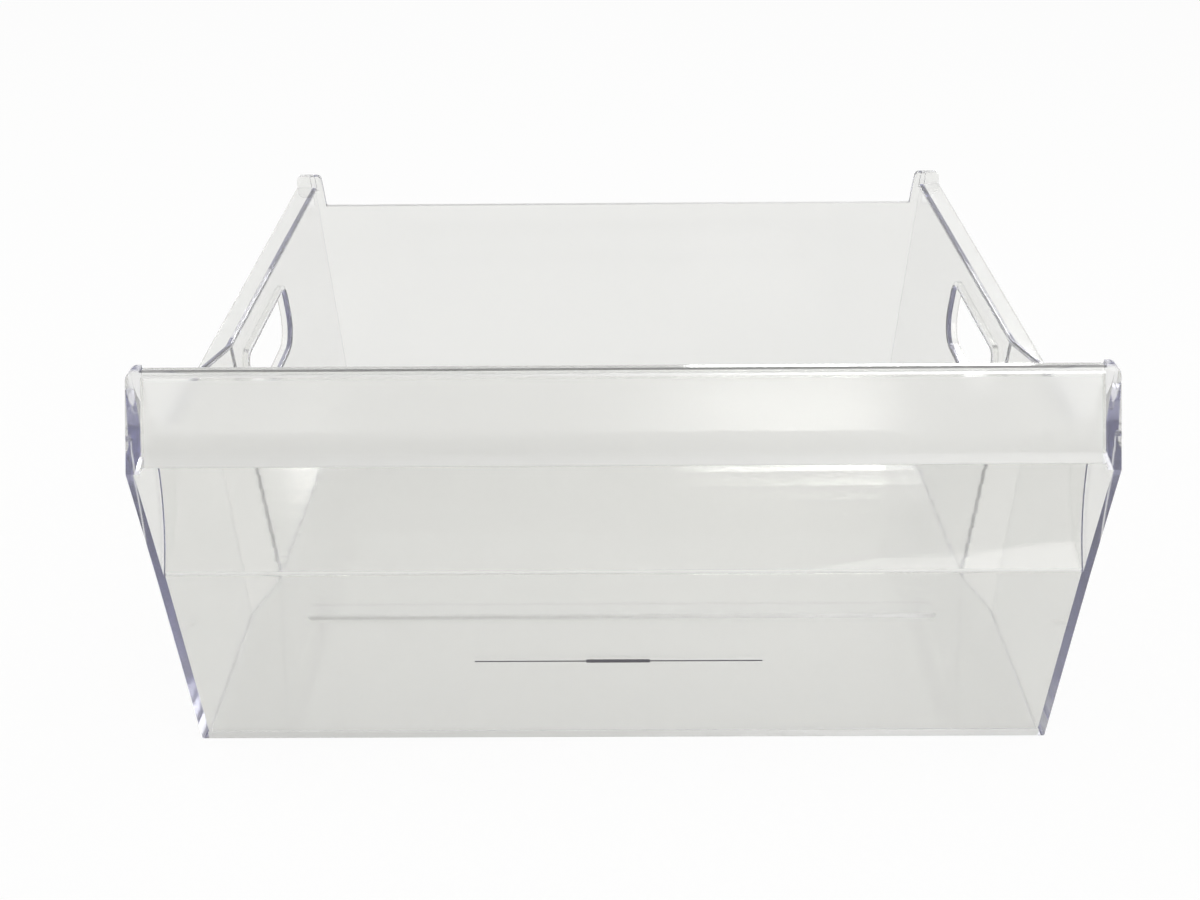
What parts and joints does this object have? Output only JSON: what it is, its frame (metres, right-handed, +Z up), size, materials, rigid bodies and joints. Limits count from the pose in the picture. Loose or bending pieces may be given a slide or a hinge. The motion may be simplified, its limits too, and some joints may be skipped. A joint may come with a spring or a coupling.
{
  "type": "fridge crisper drawer",
  "caption": "Clear moulded fridge crisper drawer: open tray with drafted walls, a scooped pull front with a frosted band, side rails with stop ears, and hand holes.",
  "frame": {"origin": "on the supporting surface under the middle of the drawer's bounding box", "axes": "+X to the drawer's right seen from the front, +Y towards its back, +Z up; the pull front faces -Y"},
  "size_m": [0.43, 0.406, 0.1968],
  "materials": {
    "clear_plastic": "clear gloss"
  },
  "bodies": {
    "root": {"drawer_tray": "clear_plastic"}
  },
  "joints": []
}
